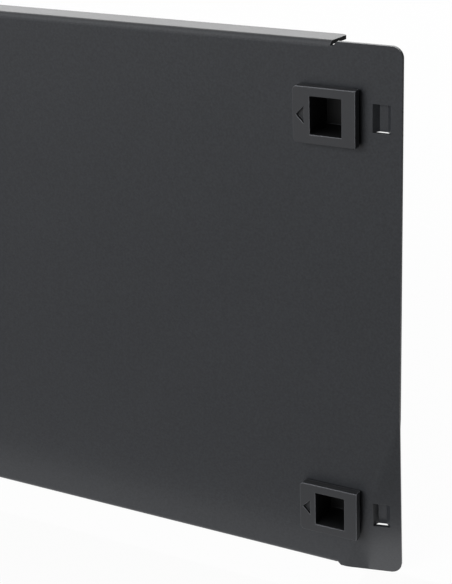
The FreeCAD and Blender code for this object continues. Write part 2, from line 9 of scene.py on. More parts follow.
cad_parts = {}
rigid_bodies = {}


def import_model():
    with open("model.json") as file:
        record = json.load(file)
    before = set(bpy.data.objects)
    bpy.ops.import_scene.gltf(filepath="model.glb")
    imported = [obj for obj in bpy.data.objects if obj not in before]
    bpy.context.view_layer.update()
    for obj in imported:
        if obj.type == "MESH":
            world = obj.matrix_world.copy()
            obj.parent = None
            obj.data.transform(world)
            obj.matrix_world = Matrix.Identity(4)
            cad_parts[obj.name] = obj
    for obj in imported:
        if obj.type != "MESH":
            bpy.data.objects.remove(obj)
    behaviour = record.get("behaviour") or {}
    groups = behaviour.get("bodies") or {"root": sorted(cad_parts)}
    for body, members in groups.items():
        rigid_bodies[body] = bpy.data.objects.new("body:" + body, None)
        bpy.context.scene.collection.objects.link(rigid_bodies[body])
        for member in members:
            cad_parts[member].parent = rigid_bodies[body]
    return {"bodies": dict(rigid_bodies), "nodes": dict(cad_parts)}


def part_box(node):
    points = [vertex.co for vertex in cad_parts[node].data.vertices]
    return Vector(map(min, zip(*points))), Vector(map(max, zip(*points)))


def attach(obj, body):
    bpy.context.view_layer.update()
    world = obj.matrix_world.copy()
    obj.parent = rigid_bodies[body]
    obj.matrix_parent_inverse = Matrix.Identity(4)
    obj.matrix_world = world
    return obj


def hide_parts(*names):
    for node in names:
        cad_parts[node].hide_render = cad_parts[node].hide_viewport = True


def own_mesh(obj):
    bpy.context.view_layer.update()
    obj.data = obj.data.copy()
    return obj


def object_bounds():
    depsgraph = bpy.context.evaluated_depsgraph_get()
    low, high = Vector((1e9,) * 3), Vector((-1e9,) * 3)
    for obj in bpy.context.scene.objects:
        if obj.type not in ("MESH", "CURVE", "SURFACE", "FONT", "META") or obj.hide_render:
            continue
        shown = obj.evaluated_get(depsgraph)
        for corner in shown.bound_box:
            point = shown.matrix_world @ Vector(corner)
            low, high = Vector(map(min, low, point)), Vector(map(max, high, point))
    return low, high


bl_info = {
    "name": "Rack blanking panel",
    "version": (1, 0, 0),
    "blender": (4, 5, 0),
    "location": "View3D > Sidebar > Blanking panel",
    "description": "Finishes a rack blanking panel with sprung latches and lights it",
    "category": "Object",
}

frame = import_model()
CAD_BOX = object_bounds()
SHEET_BODY = "sheet"
LATCHES = sorted(body[: -len("_latch")] for body in frame["bodies"] if body.endswith("_latch"))
MM = 0.001
STUD_THREAD = 2.5 * MM
STUD_FOOT = 4.0 * MM
STUD_FOOT_HEIGHT = 0.7 * MM
NUT_FLATS = 5.0 * MM
# Points of one stud or nut lie closer together than this, and those of two don't.
STUD_REACH = 6.0 * MM
NUT_REACH = 6.5 * MM
WHITE = (1.0, 1.0, 1.0, 1.0)
NOISE_MIDDLE = 0.5
# Numbers of a Mix node's sockets for two colours and for its result.
MIX_FIRST, MIX_SECOND, MIX_RESULT = 6, 7, 2


# ---------------------------------------------------------------- settings


class CoatSettings(bpy.types.PropertyGroup):
    """Powder coat of the folded sheet"""

    colour: FloatVectorProperty(
        name="Colour",
        description="Main colour of the powder coat",
        subtype="COLOR",
        min=0.0,
        max=1.0,
        default=(0.0325, 0.0345, 0.0385),
    )
    roughness: FloatProperty(
        name="Roughness",
        description="Roughness of the coat before its grain",
        min=0.0,
        max=1.0,
        default=0.36,
    )
    grain: FloatProperty(
        name="Grain size",
        description="Width of the coat's fine bumps",
        subtype="DISTANCE",
        unit="LENGTH",
        default=0.7 * MM,
    )
    relief: FloatProperty(
        name="Grain height",
        description="Height of the coat's fine bumps",
        subtype="DISTANCE",
        unit="LENGTH",
        default=0.015 * MM,
    )
    edge: FloatProperty(
        name="Edge rounding",
        description="Radius that the coat gives to the sheet's cut edges",
        subtype="DISTANCE",
        unit="LENGTH",
        default=0.18 * MM,
    )


class MouldingSettings(bpy.types.PropertyGroup):
    """Plastic of the latches and guides"""

    button_colour: FloatVectorProperty(
        name="Button colour",
        description="Colour of the slide buttons",
        subtype="COLOR",
        min=0.0,
        max=1.0,
        default=(0.0322, 0.0334, 0.0366),
    )
    guide_colour: FloatVectorProperty(
        name="Guide colour",
        description="Colour of the guides and retainers behind the sheet",
        subtype="COLOR",
        min=0.0,
        max=1.0,
        default=(0.014, 0.014, 0.015),
    )
    roughness: FloatProperty(
        name="Roughness",
        description="Roughness of the moulded faces",
        min=0.0,
        max=1.0,
        default=0.48,
    )


class HardwareSettings(bpy.types.PropertyGroup):
    """Zinc-plated steel and spring wire"""

    zinc_colour: FloatVectorProperty(
        name="Zinc colour",
        description="Colour of the plated bolts, studs and nuts",
        subtype="COLOR",
        min=0.0,
        max=1.0,
        default=(0.56, 0.57, 0.59),
    )
    wire_colour: FloatVectorProperty(
        name="Wire colour",
        description="Colour of the springs' wire",
        subtype="COLOR",
        min=0.0,
        max=1.0,
        default=(0.50, 0.51, 0.53),
    )
    wire: FloatProperty(
        name="Wire",
        description="Diameter of the springs' wire",
        subtype="DISTANCE",
        unit="LENGTH",
        default=0.45 * MM,
    )
    turns: FloatProperty(
        name="Turns",
        description="Working turns of a spring, between its closed ends",
        min=2.0,
        default=5.5,
    )
    closed: FloatProperty(
        name="Closed turns",
        description="Turns that lie flat at each end of a spring",
        min=0.25,
        default=1.0,
    )
    pitch: FloatProperty(
        name="Thread pitch",
        description="Pitch of the studs' threads",
        subtype="DISTANCE",
        unit="LENGTH",
        default=0.45 * MM,
    )
    thread: FloatProperty(
        name="Thread depth",
        description="Depth of the studs' threads",
        subtype="DISTANCE",
        unit="LENGTH",
        default=0.22 * MM,
    )


class StageSettings(bpy.types.PropertyGroup):
    """Camera, floor and lamps"""

    camera_place: FloatVectorProperty(
        name="Camera place",
        description="Where the camera stands",
        subtype="TRANSLATION",
        unit="LENGTH",
        default=(0.40052, -0.40355, 0.19603),
    )
    camera_yaw: FloatProperty(
        name="Camera turn",
        description="How far the camera is turned left from straight on",
        subtype="ANGLE",
        unit="ROTATION",
        default=math.radians(28.726),
    )
    camera_pitch: FloatProperty(
        name="Camera tilt",
        description="How far the camera looks down",
        subtype="ANGLE",
        unit="ROTATION",
        default=math.radians(22.761),
    )
    camera_roll: FloatProperty(
        name="Camera roll",
        description="How far the camera is rolled about its view",
        subtype="ANGLE",
        unit="ROTATION",
        default=math.radians(2.21),
    )
    lens: FloatProperty(
        name="Lens",
        description="Focal length",
        subtype="DISTANCE_CAMERA",
        default=95.49,
    )
    backdrop_colour: FloatVectorProperty(
        name="Backdrop colour",
        description="Colour of the floor and backdrop where they aren't plain white",
        subtype="COLOR",
        min=0.0,
        max=1.0,
        default=(0.95, 0.95, 0.95),
    )
    shadow_share: FloatProperty(
        name="Floor shadow",
        description="How much of the object's shadow shows on the white floor",
        subtype="FACTOR",
        min=0.0,
        max=1.0,
        default=0.03,
    )
    daylight: FloatProperty(
        name="Room light",
        description="Strength of the light from all round",
        min=0.0,
        default=0.41,
    )
    key: FloatProperty(
        name="Key lamp",
        description="Power of the softbox in front",
        subtype="POWER",
        unit="POWER",
        default=24.0,
    )
    back: FloatProperty(
        name="Back lamp",
        description="Power of the softbox behind",
        subtype="POWER",
        unit="POWER",
        default=15.0,
    )
    front_shade: FloatProperty(
        name="Front card",
        description="How bright the card in front is in a mirror",
        min=0.0,
        max=1.0,
        default=0.5,
    )
    foot_shade: FloatProperty(
        name="Foot card",
        description="How bright the card at the foot of the panel's end is in a mirror",
        min=0.0,
        default=2.3,
    )
    side_shade: FloatProperty(
        name="Side card",
        description="How bright the card on the right is in a mirror",
        min=0.0,
        max=1.0,
        default=0.15,
    )
    sky_shade: FloatProperty(
        name="Sky card",
        description="How bright the card over the front is in a mirror",
        min=0.0,
        default=2.0,
    )


# ---------------------------------------------------------------- node helpers


def add_node(tree, kind, inputs=None, **settings):
    """A new node with its settings, and its inputs set or linked by name or number."""
    made = tree.nodes.new(kind)
    for name, value in settings.items():
        setattr(made, name, value)
    for name, value in (inputs or {}).items():
        socket = made.inputs[name]
        if isinstance(value, bpy.types.NodeSocket):
            tree.links.new(value, socket)
        else:
            socket.default_value = value
    return made


def maths(tree, operation, *values):
    """The output of a Math node."""
    return add_node(
        tree, "ShaderNodeMath", dict(enumerate(values)), operation=operation
    ).outputs[0]


def ramp(tree, value, **ends):
    """The output of a Map Range node, whose ends are named with _ for a space."""
    inputs = {"Value": value}
    inputs.update({name.replace("_", " "): end for name, end in ends.items()})
    return add_node(tree, "ShaderNodeMapRange", inputs).outputs["Result"]


def dot(tree, first, second):
    """How far two directions agree, from -1 to 1."""
    return add_node(
        tree, "ShaderNodeVectorMath", {0: first, 1: second}, operation="DOT_PRODUCT"
    ).outputs["Value"]


def scaled(tree, colour, factor):
    """A colour made lighter or darker by a factor."""
    return add_node(
        tree, "ShaderNodeVectorMath", {0: colour, "Scale": factor}, operation="SCALE"
    ).outputs["Vector"]


def blended(tree, share, first, second):
    """The first colour with a share of the second."""
    return add_node(
        tree,
        "ShaderNodeMix",
        {"Factor": share, MIX_FIRST: first, MIX_SECOND: second},
        data_type="RGBA",
    ).outputs[MIX_RESULT]


def seen_share(tree):
    """1 for what the camera sees, straight, mirrored or through glass, and 0 for light."""
    path = add_node(tree, "ShaderNodeLightPath").outputs
    indirect = maths(tree, "MAXIMUM", path["Is Glossy Ray"], path["Is Transmission Ray"])
    return maths(tree, "MAXIMUM", path["Is Camera Ray"], indirect)


def new_group(name, takes, gives):
    """An empty shader node group, with its input and output nodes."""
    group = bpy.data.node_groups.new(name, "ShaderNodeTree")
    for socket, kind, default in takes:
        made = group.interface.new_socket(socket, in_out="INPUT", socket_type=kind)
        made.default_value = default
    for socket, kind in gives:
        group.interface.new_socket(socket, in_out="OUTPUT", socket_type=kind)
    return group, group.nodes.new("NodeGroupInput").outputs, group.nodes.new("NodeGroupOutput")


def place_noise(tree, size, detail):
    """Noise of a given grain width over the piece, about its middle."""
    where = add_node(tree, "ShaderNodeTexCoord").outputs["Object"]
    scale = maths(tree, "DIVIDE", 1.0, size)
    return add_node(
        tree, "ShaderNodeTexNoise", {"Vector": where, "Scale": scale, "Detail": detail}
    ).outputs["Fac"]


def grain_group():
    """Fine bumps, the finest of them alone, and a tone that drifts over the surface."""
    if "Grain" in bpy.data.node_groups:
        return bpy.data.node_groups["Grain"]
    group, takes, gives = new_group(
        "Grain",
        [("Size", "NodeSocketFloat", 0.5 * MM), ("Drift size", "NodeSocketFloat", 30 * MM)],
        [(name, "NodeSocketFloat") for name in ("Bumps", "Fine", "Drift")],
    )
    slow_width = 6.0
    slow_height = 0.6
    wide = maths(group, "MULTIPLY", takes["Size"], slow_width)
    fine = place_noise(group, takes["Size"], detail=3.0)
    slow = place_noise(group, wide, detail=2.0)
    both = maths(group, "MULTIPLY_ADD", slow, slow_height, fine)
    drift = place_noise(group, takes["Drift size"], detail=2.0)
    group.links.new(both, gives.inputs["Bumps"])
    group.links.new(fine, gives.inputs["Fine"])
    group.links.new(drift, gives.inputs["Drift"])
    return group


def edge_group():
    """1 along the edges that a small rounding would catch, and 0 on flat faces."""
    if "Edges" in bpy.data.node_groups:
        return bpy.data.node_groups["Edges"]
    group, takes, gives = new_group(
        "Edges",
        [("Normal", "NodeSocketVector", (0.0, 0.0, 1.0)), ("Width", "NodeSocketFloat", 0.1)],
        [("Mask", "NodeSocketFloat")],
    )
    true_normal = add_node(group, "ShaderNodeNewGeometry").outputs["Normal"]
    apart = maths(group, "SUBTRACT", 1.0, dot(group, takes["Normal"], true_normal))
    mask = ramp(group, apart, From_Max=takes["Width"])
    group.links.new(mask, gives.inputs["Mask"])
    return group


def new_material(name):
    """A material with an empty node tree and its output node."""
    material = bpy.data.materials.new(name)
    material.use_nodes = True
    tree = material.node_tree
    tree.nodes.clear()
    return material, tree, tree.nodes.new("ShaderNodeOutputMaterial")


def tinted(colour, times, lift=0.0):
    """A colour times a number, with an alpha of 1."""
    return tuple(min(1.0, part * times + lift) for part in colour) + (1.0,)


def scuffed_and_sheened_edges(tree, shade, rounded, colour, wear_and_sheen, edge_lightness, sheen_side):
    """A shade with lighter edges, for scuffs and for painted sheen, on all sides or mostly on the
    side that the painted highlight faces.
    """
    away, towards = -0.1, 0.3
    least_sheen = 0.12
    edges = add_node(tree, "ShaderNodeGroup", {"Normal": rounded}, node_tree=edge_group())
    share = maths(tree, "MULTIPLY", edges.outputs["Mask"], wear_and_sheen)
    # Painted highlight: edges that face this side get the most of the lighter colour, and those
    # facing away the least.
    if sheen_side:
        facing = dot(tree, rounded, sheen_side)
        sided = ramp(tree, facing, From_Min=away, From_Max=towards, To_Min=least_sheen)
        share = maths(tree, "MULTIPLY", share, sided)
    return blended(tree, share, shade, tinted(colour, edge_lightness, lift=0.02))


def painted_hollow_shade(tree, shade, reach):
    """A colour with painted shade in hollows whose walls are within reach of each other."""
    deep, free = 0.15, 0.95
    deepest_shade = 0.06
    openness = add_node(
        tree, "ShaderNodeAmbientOcclusion", {"Distance": reach}, samples=8, only_local=True
    ).outputs["AO"]
    left = ramp(tree, openness, From_Min=deep, From_Max=free, To_Min=deepest_shade)
    return scaled(tree, shade, left)


def surface(
    name,
    colour,
    roughness,
    grain,
    relief,
    edge=0.0,
    tone=0.08,
    wear_and_sheen=0.0,
    edge_lightness=3.0,
    sheen_side=None,
    hollow_shade_reach=0.0,
    speckle=0.0,
    **constants,
):
    """A material of one base colour with grain, drifting tone, soft edges, lighter edges for
    scuffs and painted sheen, and painted shade in hollows.

    grain is the bumps' width and relief their height. edge is the radius of the soft
    edges. tone is how far the colour drifts, and speckle how far it varies from grain to
    grain. wear_and_sheen is how much of the lighter edge colour the edges show, standing for
    scuffs and for painted sheen, edge_lightness how many times lighter than the colour that
    is, and sheen_side the direction of the painted highlight, which the edges facing it get
    most of. hollow_shade_reach is how far apart the walls of a hollow with painted shade can
    be. constants are the Principled BSDF's other inputs, by name with _ for a space.
    """
    drift_width = 35 * MM
    roughness_spread = 0.06
    material, tree, output = new_material(name)
    bumps = add_node(
        tree,
        "ShaderNodeGroup",
        {"Size": grain, "Drift size": drift_width},
        node_tree=grain_group(),
    ).outputs
    shader = add_node(tree, "ShaderNodeBsdfPrincipled")
    for socket, value in constants.items():
        shader.inputs[socket.replace("_", " ")].default_value = value
    bump_inputs = {"Height": bumps["Bumps"], "Distance": relief, "Strength": 1.0}
    shade = blended(tree, bumps["Drift"], tinted(colour, 1 - tone), tinted(colour, 1 + tone))
    if speckle:
        uneven = maths(tree, "SUBTRACT", bumps["Fine"], NOISE_MIDDLE)
        shade = scaled(tree, shade, maths(tree, "MULTIPLY_ADD", uneven, speckle, 1.0))
    if edge:
        rounded = add_node(tree, "ShaderNodeBevel", {"Radius": edge}, samples=6).outputs["Normal"]
        bump_inputs["Normal"] = rounded
        # Lighter edges, standing for scuffs and for painted sheen.
        if wear_and_sheen:
            shade = scuffed_and_sheened_edges(tree, shade, rounded, colour, wear_and_sheen, edge_lightness, sheen_side)
    # Painted shade in hollows.
    if hollow_shade_reach:
        shade = painted_hollow_shade(tree, shade, hollow_shade_reach)
    tree.links.new(shade, shader.inputs["Base Color"])
    drifted = maths(tree, "SUBTRACT", bumps["Drift"], NOISE_MIDDLE)
    rough = maths(tree, "MULTIPLY_ADD", drifted, roughness_spread, roughness)
    tree.links.new(rough, shader.inputs["Roughness"])
    bump = add_node(tree, "ShaderNodeBump", bump_inputs)
    tree.links.new(bump.outputs["Normal"], shader.inputs["Normal"])
    tree.links.new(shader.outputs["BSDF"], output.inputs["Surface"])
    return material


def finish_node(node, material):
    """Give a CAD node its material."""
    slots = frame["nodes"][node].data.materials
    slots.clear()
    slots.append(material)


# ---------------------------------------------------------------- small pieces


def placed(name, data):
    """A new object in the scene's own collection."""
    made = bpy.data.objects.new(name, data)
    bpy.context.scene.collection.objects.link(made)
    return made


def piece(name, mesh, body, node):
    """A piece of the object that takes a CAD node's place."""
    made = placed(name, mesh)
    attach(made, body)
    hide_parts(node)
    return made


def rings_mesh(name, rings, closed=False):
    """A closed mesh through rings of as many points each.

    It has a flat face at each end, or where closed is set, the last ring joins the first.
    """
    count = len(rings[0])
    points = [point for ring in rings for point in ring]
    pairs = list(zip(range(len(rings)), [*range(1, len(rings)), 0]))
    faces = [
        (
            near * count + n,
            near * count + (n + 1) % count,
            far * count + (n + 1) % count,
            far * count + n,
        )
        for near, far in (pairs if closed else pairs[:-1])
        for n in range(count)
    ]
    if not closed:
        last = (len(rings) - 1) * count
        faces += [tuple(reversed(range(count))), tuple(range(last, last + count))]
    mesh = bpy.data.meshes.new(name)
    mesh.from_pydata(points, [], faces)
    return mesh


def face_out(mesh):
    """Turn every face of a mesh outwards, and smooth all but its sharp edges."""
    sharp = math.radians(32)
    work = bmesh.new()
    work.from_mesh(mesh)
    bmesh.ops.recalc_face_normals(work, faces=work.faces)
    work.to_mesh(mesh)
    work.free()
    mesh.shade_smooth()
    mesh.set_sharp_from_angle(angle=sharp)
    return mesh


def turned_ring(around, height, radius):
    """A ring of points about Y, whose height and radius are given for each angle."""
    turn = [2 * math.pi * n / around for n in range(around)]
    return [(radius(a) * math.cos(a), height(a), radius(a) * math.sin(a)) for a in turn]


def stud_mesh(length, thread, pitch):
    """A weld stud that stands on the origin along +Y, with a helical thread."""
    around = 24
    steps = 96
    foot = STUD_FOOT / 2
    chamfer = 0.4 * STUD_FOOT_HEIGHT

    def ring(height, radius):
        return turned_ring(around, lambda a: height, radius)

    def flank(height):
        """Radius of the thread at an angle, run out towards both ends."""
        ease = min(1.0, (height - STUD_FOOT_HEIGHT) / pitch, (length - height) / pitch)

        def radius(angle):
            phase = (height / pitch - angle / (2 * math.pi)) % 1.0
            return STUD_THREAD / 2 - thread * (1 - ease * (1 - abs(2 * phase - 1)))

        return radius

    rings = [
        ring(0.0, lambda a: foot),
        ring(STUD_FOOT_HEIGHT - chamfer, lambda a: foot),
        ring(STUD_FOOT_HEIGHT, lambda a: foot - chamfer),
    ]
    for step in range(steps + 1):
        height = STUD_FOOT_HEIGHT + (length - STUD_FOOT_HEIGHT) * step / steps
        rings.append(ring(height, flank(height)))
    return rings_mesh("stud", rings)


def nut_mesh(flats, bore, thickness):
    """A hexagon nut on the origin along +Y, with the corners of both faces chamfered."""
    around = 72
    slope = math.tan(math.radians(30))
    face_share = 0.97
    face = face_share * flats / 2
    hole = bore / 2
    lead = 0.2 * MM

    def across(angle):
        """Radius of the hexagon at an angle."""
        sixth = math.pi / 3
        return flats / 2 / math.cos((angle + sixth / 2) % sixth - sixth / 2)

    def drop(angle):
        """How far the chamfer has come down where it meets a side."""
        return (across(angle) - face) * slope

    profile = [
        (lambda a: lead, lambda a: hole),
        (lambda a: 0.0, lambda a: hole + lead),
        (lambda a: 0.0, lambda a: face),
        (drop, across),
        (lambda a: thickness - drop(a), across),
        (lambda a: thickness, lambda a: face),
        (lambda a: thickness, lambda a: hole + lead),
        (lambda a: thickness - lead, lambda a: hole),
    ]
    rings = [turned_ring(around, height, radius) for height, radius in profile]
    return rings_mesh("nut", rings, closed=True)


def centres(node, reach):
    """Middles, on the lowest Y, of the separate pieces that one CAD node holds."""
    found = []
    for vertex in frame["nodes"][node].data.vertices:
        for group in found:
            if (group[0] - vertex.co).length < reach:
                group.append(vertex.co.copy())
                break
        else:
            found.append([vertex.co.copy()])
    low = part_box(node)[0].y
    middles = []
    for group in found:
        x = [co.x for co in group]
        z = [co.z for co in group]
        middles.append(((min(x) + max(x)) / 2, low, (min(z) + max(z)) / 2))
    return sorted(middles)


def new_geometry_group(name, takes):
    """An empty Geometry Nodes tree with its sockets, and the identifiers of its inputs."""
    group = bpy.data.node_groups.new(name, "GeometryNodeTree")
    group.interface.new_socket("Geometry", in_out="INPUT", socket_type="NodeSocketGeometry")
    named = {}
    for socket, kind in takes:
        made = group.interface.new_socket(socket, in_out="INPUT", socket_type=kind)
        named[socket] = made.identifier
    group.interface.new_socket("Geometry", in_out="OUTPUT", socket_type="NodeSocketGeometry")
    return group, group.nodes.new("NodeGroupInput").outputs, named


def end_group(group, geometry, material):
    """Finish a tree with Realize Instances, Set Material and the output."""
    real = add_node(group, "GeometryNodeRealizeInstances", {"Geometry": geometry})
    painted = add_node(
        group,
        "GeometryNodeSetMaterial",
        {"Geometry": real.outputs["Geometry"], "Material": material},
    )
    add_node(group, "NodeGroupOutput", {"Geometry": painted.outputs["Geometry"]})


def grown(mesh, group, named, values):
    """The plain mesh that a Geometry Nodes tree makes from a mesh."""
    start = placed(mesh.name, mesh)
    modifier = start.modifiers.new(group.name, "NODES")
    modifier.node_group = group
    for socket, value in values.items():
        modifier[named[socket]] = value
    evaluated = start.evaluated_get(bpy.context.evaluated_depsgraph_get())
    result = bpy.data.meshes.new_from_object(evaluated)
    start.modifiers.remove(modifier)
    bpy.data.objects.remove(start)
    return result


def scatter_group():
    """Puts one object on each point, unturned."""
    group, takes, named = new_geometry_group(
        "Scatter", [("Object", "NodeSocketObject"), ("Material", "NodeSocketMaterial")]
    )
    source = add_node(group, "GeometryNodeObjectInfo", {"Object": takes["Object"]})
    spread = add_node(
        group,
        "GeometryNodeInstanceOnPoints",
        {"Points": takes["Geometry"], "Instance": source.outputs["Geometry"]},
    )
    end_group(group, spread.outputs["Instances"], takes["Material"])
    return group, named


def scattered(name, source_mesh, places, material):
    """A mesh of a source at every place."""
    source = placed(f"{name}_source", face_out(source_mesh))
    points = bpy.data.meshes.new(name)
    points.from_pydata(places, [], [])
    group, named = scatter_group()
    result = grown(points, group, named, {"Object": source, "Material": material})
    bpy.data.objects.remove(source)
    return result


def coil_group():
    """A coil spring along +X from the origin, with closed ends."""
    points_in_turn = 28
    points_in_section = 10
    group, takes, named = new_geometry_group(
        "Coil",
        [
            ("Length", "NodeSocketFloat"),
            ("Radius", "NodeSocketFloat"),
            ("Wire", "NodeSocketFloat"),
            ("Turns", "NodeSocketFloat"),
            ("Closed", "NodeSocketFloat"),
            ("Material", "NodeSocketMaterial"),
        ],
    )
    both_ends = maths(group, "MULTIPLY", takes["Closed"], 2.0)
    all_turns = maths(group, "ADD", takes["Turns"], both_ends)
    helix = add_node(
        group,
        "GeometryNodeCurveSpiral",
        {
            "Resolution": points_in_turn,
            "Rotations": all_turns,
            "Start Radius": takes["Radius"],
            "End Radius": takes["Radius"],
            "Height": takes["Length"],
        },
    ).outputs["Curve"]
    share = add_node(group, "GeometryNodeSplineParameter").outputs["Factor"]
    first = maths(group, "DIVIDE", takes["Closed"], all_turns)
    last = maths(group, "SUBTRACT", 1.0, first)
    flat = maths(group, "MULTIPLY", takes["Wire"], takes["Closed"])
    working = maths(group, "SUBTRACT", takes["Length"], maths(group, "MULTIPLY", flat, 2.0))

    def climb(start, end, rise):
        """What the coil gains along X between two shares of its length."""
        return ramp(group, share, From_Min=start, From_Max=end, To_Max=rise)

    height = maths(group, "ADD", climb(0.0, first, flat), climb(first, last, working))
    height = maths(group, "ADD", height, climb(last, 1.0, flat))
    place = add_node(
        group,
        "ShaderNodeSeparateXYZ",
        {"Vector": add_node(group, "GeometryNodeInputPosition").outputs["Position"]},
    ).outputs
    turned = add_node(
        group, "ShaderNodeCombineXYZ", {"X": height, "Y": place["X"], "Z": place["Y"]}
    )
    along = add_node(
        group,
        "GeometryNodeSetPosition",
        {"Geometry": helix, "Position": turned.outputs["Vector"]},
    )
    section = add_node(
        group,
        "GeometryNodeCurvePrimitiveCircle",
        {"Resolution": points_in_section, "Radius": maths(group, "MULTIPLY", takes["Wire"], 0.5)},
    )
    wire = add_node(
        group,
        "GeometryNodeCurveToMesh",
        {
            "Curve": along.outputs["Geometry"],
            "Profile Curve": section.outputs["Curve"],
            "Fill Caps": True,
        },
    )
    end_group(group, wire.outputs["Mesh"], takes["Material"])
    return group, named


def coil_mesh(name, node, wire, turns, closed, material):
    """A finer coil in the place of a CAD node's spring."""
    low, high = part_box(node)
    group, named = coil_group()
    slack = 0.02 * MM
    mesh = grown(
        bpy.data.meshes.new(name),
        group,
        named,
        {
            "Length": high.x - low.x - wire - 2 * slack,
            "Radius": min(high.y - low.y, high.z - low.z) / 2 - wire / 2,
            "Wire": wire,
            "Turns": turns,
            "Closed": closed,
            "Material": material,
        },
    )
    middle = (low + high) / 2
    mesh.transform(Matrix.Translation((low.x + wire / 2 + slack, middle.y, middle.z)))
    return face_out(mesh)


# ---------------------------------------------------------------- stage


def background_material(colour, shadow_share):
    """White to the camera and in gloss, with a share left for the object's shadow.

    It can be looked through from behind and from below.
    """
    material, tree, output = new_material("Backdrop")
    diffuse = add_node(tree, "ShaderNodeBsdfDiffuse", {"Color": colour}).outputs["BSDF"]
    white = add_node(tree, "ShaderNodeEmission", {"Color": WHITE, "Strength": 1.0})
    share = maths(tree, "MULTIPLY", seen_share(tree), 1 - shadow_share)
    mixed = add_node(
        tree, "ShaderNodeMixShader", {0: share, 1: diffuse, 2: white.outputs["Emission"]}
    )
    behind = add_node(tree, "ShaderNodeNewGeometry").outputs["Backfacing"]
    clear = add_node(tree, "ShaderNodeBsdfTransparent", {"Color": WHITE})
    one_sided = add_node(
        tree,
        "ShaderNodeMixShader",
        {0: behind, 1: mixed.outputs["Shader"], 2: clear.outputs["BSDF"]},
    )
    tree.links.new(one_sided.outputs["Shader"], output.inputs["Surface"])
    return material


def stage_mesh(name, points, faces, material):
    """A part of the stage."""
    mesh = bpy.data.meshes.new(name)
    mesh.from_pydata(points, [], faces)
    mesh.materials.append(material)
    made = placed(name, mesh)
    return made


def sweep_floor(name, front, back, half_width, low, high, radius, material):
    """A floor that rises into a backdrop through a round corner."""
    steps = 16
    profile = [(front, low), (back - radius, low)]
    for step in range(1, steps + 1):
        angle = math.pi / 2 * step / steps
        profile.append(
            (back - radius + radius * math.sin(angle), low + radius * (1 - math.cos(angle)))
        )
    profile.append((back, high))
    points = [(side * half_width, y, z) for y, z in profile for side in (-1, 1)]
    faces = [(2 * n, 2 * n + 1, 2 * n + 3, 2 * n + 2) for n in range(len(profile) - 1)]
    stage_mesh(name, points, faces, material).data.shade_smooth()


def card(name, shade, corners):
    """A card out of the camera's sight, which the object mirrors and is shaded by."""
    material, tree, output = new_material(name)
    path = add_node(tree, "ShaderNodeLightPath").outputs
    matt = add_node(tree, "ShaderNodeBsdfDiffuse", {"Color": (0.02, 0.02, 0.02, 1.0)})
    seen = add_node(tree, "ShaderNodeEmission", {"Color": WHITE, "Strength": shade})
    mixed = add_node(
        tree,
        "ShaderNodeMixShader",
        {0: path["Is Glossy Ray"], 1: matt.outputs["BSDF"], 2: seen.outputs["Emission"]},
    )
    tree.links.new(mixed.outputs["Shader"], output.inputs["Surface"])
    made = stage_mesh(name, corners, [tuple(range(len(corners)))], material)
    made.visible_camera = False


def level_card(name, shade, x, y, z):
    """A card that lies level at z, between the two ends of x and of y."""
    outline = [(x[0], y[0]), (x[1], y[0]), (x[1], y[1]), (x[0], y[1])]
    card(name, shade, [(*corner, z) for corner in outline])


def upright_card(name, shade, x, y, z):
    """A card that stands at x, between the two ends of y and of z."""
    outline = [(y[0], z[0]), (y[1], z[0]), (y[1], z[1]), (y[0], z[1])]
    card(name, shade, [(x, *corner) for corner in outline])


def softbox(name, place, target, width, height, watts, mirrored=True):
    """A rectangular lamp that faces its target, and shows in gloss where mirrored is set."""
    lamp = bpy.data.lights.new(name, "AREA")
    lamp.shape = "RECTANGLE"
    lamp.size = width
    lamp.size_y = height
    lamp.energy = watts
    made = placed(name, lamp)
    made.location = place
    made.visible_glossy = mirrored
    made.rotation_euler = (Vector(target) - Vector(place)).to_track_quat("-Z", "Y").to_euler()


def light_room(strength):
    """A plain world: white where it shows or is mirrored, and softer as a light."""
    world = bpy.data.worlds.new("Room")
    bpy.context.scene.world = world
    world.use_nodes = True
    tree = world.node_tree
    tree.nodes.clear()
    level = maths(tree, "MULTIPLY_ADD", seen_share(tree), 1 - strength, strength)
    light = add_node(tree, "ShaderNodeBackground", {"Color": WHITE, "Strength": level})
    output = add_node(tree, "ShaderNodeOutputWorld")
    tree.links.new(light.outputs["Background"], output.inputs["Surface"])


# ---------------------------------------------------------------- operators


class PANEL_OT_coat_sheet(bpy.types.Operator):
    """Powder coat the folded sheet"""

    bl_idname = "blanking.coat_sheet"
    bl_label = "Coat the sheet"

    def execute(self, context):
        coat = context.scene.blanking_coat
        material = surface(
            "Powder coat",
            tuple(coat.colour),
            coat.roughness,
            coat.grain,
            coat.relief,
            edge=coat.edge,
            tone=0.05,
            # Edges a little lighter, standing for scuffs and for painted sheen.
            wear_and_sheen=0.25,
            speckle=0.75,
            Specular_IOR_Level=0.35,
        )
        finish_node("panel", material)
        return {"FINISHED"}


class PANEL_OT_mould_latches(bpy.types.Operator):
    """Give the buttons, retainers and guides their plastics"""

    bl_idname = "blanking.mould_latches"
    bl_label = "Mould the latches"

    def execute(self, context):
        plastic = context.scene.blanking_moulding
        button = surface(
            "Button plastic",
            tuple(plastic.button_colour),
            plastic.roughness,
            grain=0.3 * MM,
            relief=0.005 * MM,
            edge=0.4 * MM,
            # Edges that face up and to the right get a painted highlight, and the hollows get
            # painted shade.
            wear_and_sheen=1.0,
            edge_lightness=8.5,
            sheen_side=(0.7, 0.0, 0.7),
            hollow_shade_reach=14 * MM,
        )
        guide = surface(
            "Guide plastic",
            tuple(plastic.guide_colour),
            roughness=0.55,
            grain=0.35 * MM,
            relief=0.006 * MM,
            edge=0.15 * MM,
            # Edges a little lighter, standing for scuffs and for painted sheen.
            wear_and_sheen=0.2,
        )
        for latch in LATCHES:
            finish_node(f"{latch}_button", button)
            finish_node(f"{latch}_guide", guide)
            finish_node(f"{latch}_retainer", guide)
        return {"FINISHED"}


